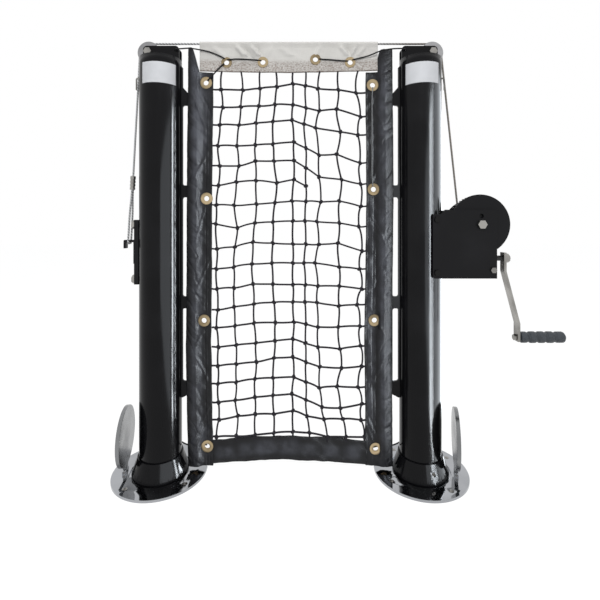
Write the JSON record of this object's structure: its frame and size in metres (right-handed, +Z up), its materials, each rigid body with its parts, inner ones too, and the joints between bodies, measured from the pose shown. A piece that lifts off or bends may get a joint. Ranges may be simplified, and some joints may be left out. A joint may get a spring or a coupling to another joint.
{
  "type": "tennis net on posts",
  "caption": "Tennis net with a headband and laced side pockets between two removable posts in floor sleeves, one with a cable hook and one with an external worm winch",
  "frame": {"origin": "centre of the anchor floor plate's screw circle, on the floor, which is also the anchor post's axis; the sleeves reach down into the floor below it", "axes": "+X along the net from the anchor post to the winch post, +Y away from the viewer across the thin way of the net, +Z up along the posts"},
  "size_m": [1.1046, 0.2286, 1.3017],
  "materials": {
    "post_paint": "gloss black",
    "satin_black": "satin black",
    "galvanized_steel": "dull zinc",
    "chrome_plate": "mirror",
    "lid_chrome": "brushed face",
    "bright_steel": "zinc plated",
    "sheave_grey": "satin",
    "gear_iron": "greased",
    "coated_cable": "clear coated strand",
    "label_vinyl": "blank label",
    "black_vinyl": "coated cloth with soft sheen",
    "white_canvas": "woven canvas",
    "net_twine": "knotted twine",
    "black_cord": "laid cord",
    "grey_cord": "thin cord",
    "dowel_wood": "plain",
    "brass_eyelets": "polished",
    "grip_rubber": "matte"
  },
  "bodies": {
    "floor_anchors": {"anchor_floor_sleeve": "galvanized_steel", "anchor_floor_plate": "chrome_plate", "anchor_lid_pin": "bright_steel", "winch_floor_sleeve": "galvanized_steel", "winch_floor_plate": "chrome_plate", "winch_lid_pin": "bright_steel"},
    "net_and_posts": {"anchor_axle_bolt": "bright_steel", "anchor_bottom_tie": "black_cord", "anchor_collar": "post_paint", "anchor_collar_screw": "bright_steel", "anchor_dowel": "dowel_wood", "anchor_finger_hook": "bright_steel", "anchor_head": "post_paint", "anchor_label": "label_vinyl", "anchor_lacing_rail": "post_paint", "anchor_pocket_eyelets": "brass_eyelets", "anchor_post": "post_paint", "anchor_side_pocket": "black_vinyl", "anchor_top_lacing": "black_cord", "bottom_band": "black_vinyl", "cable_ferrule": "bright_steel", "cable_hook": "satin_black", "cable_loop": "coated_cable", "drum_axle": "bright_steel", "headband": "white_canvas", "headband_eyelets": "brass_eyelets", "hook_bar": "satin_black", "hook_bolts": "bright_steel", "net_cable": "coated_cable", "net_mesh": "net_twine", "winch_axle_bolt": "bright_steel", "winch_bolts": "bright_steel", "winch_bottom_tie": "black_cord", "winch_collar": "post_paint", "winch_collar_screw": "bright_steel", "winch_dowel": "dowel_wood", "winch_finger_hook": "bright_steel", "winch_head": "post_paint", "winch_housing": "satin_black", "winch_label": "label_vinyl", "winch_lacing_rail": "post_paint", "winch_pocket_eyelets": "brass_eyelets", "winch_post": "post_paint", "winch_side_cord": "grey_cord", "winch_side_pocket": "black_vinyl", "winch_top_lacing": "black_cord", "worm_bearings": "satin_black"},
    "anchor_lid": {"anchor_lid": "lid_chrome"},
    "winch_lid": {"winch_lid": "lid_chrome"},
    "anchor_sheave": {"anchor_sheave": "sheave_grey"},
    "winch_sheave": {"winch_sheave": "sheave_grey"},
    "cable_drum": {"gear_guard": "satin_black", "worm_wheel": "gear_iron", "drum": "satin_black"},
    "crank": {"worm_shaft": "gear_iron", "crank_arm": "bright_steel", "crank_nut": "bright_steel", "grip_bolt": "bright_steel"},
    "grip": {"crank_grip": "grip_rubber"}
  },
  "joints": [
    {"name": "posts_lift", "type": "slide", "parent": "floor_anchors", "child": "net_and_posts", "axis": [0, 0, 1], "range_m": [0, 0.24]},
    {"name": "anchor_lid_turn", "type": "hinge", "parent": "floor_anchors", "child": "anchor_lid", "pos_m": [-0.08318, -0.01169, 0.011], "axis": [-0.1392, 0.9903, 0], "range_deg": [-90, 6]},
    {"name": "winch_lid_turn", "type": "hinge", "parent": "floor_anchors", "child": "winch_lid", "pos_m": [0.72894, -0.02245, 0.011], "axis": [-0.2672, -0.9636, 0], "range_deg": [-90, 6]},
    {"name": "anchor_sheave_turn", "type": "hinge", "parent": "net_and_posts", "child": "anchor_sheave", "pos_m": [-0.028, 0, 1.0431], "axis": [0, 1, 0], "continuous": true},
    {"name": "winch_sheave_turn", "type": "hinge", "parent": "net_and_posts", "child": "winch_sheave", "pos_m": [0.676, 0, 1.0431], "axis": [0, 1, 0], "continuous": true},
    {"name": "crank_turn", "type": "hinge", "parent": "net_and_posts", "child": "crank", "pos_m": [0.777, -0.028, 0.535], "axis": [1, 0, 0], "continuous": true},
    {"name": "drum_turn", "type": "hinge", "parent": "net_and_posts", "child": "cable_drum", "pos_m": [0.777, 0, 0.617], "axis": [0, 1, 0], "continuous": true},
    {"name": "grip_spin", "type": "hinge", "parent": "crank", "child": "grip", "pos_m": [0.928, -0.028, 0.343], "axis": [1, 0, 0], "continuous": true}
  ],
  "couplings": [
    {"joint": "drum_turn", "follows": "crank_turn", "ratio": 0.017857}
  ]
}
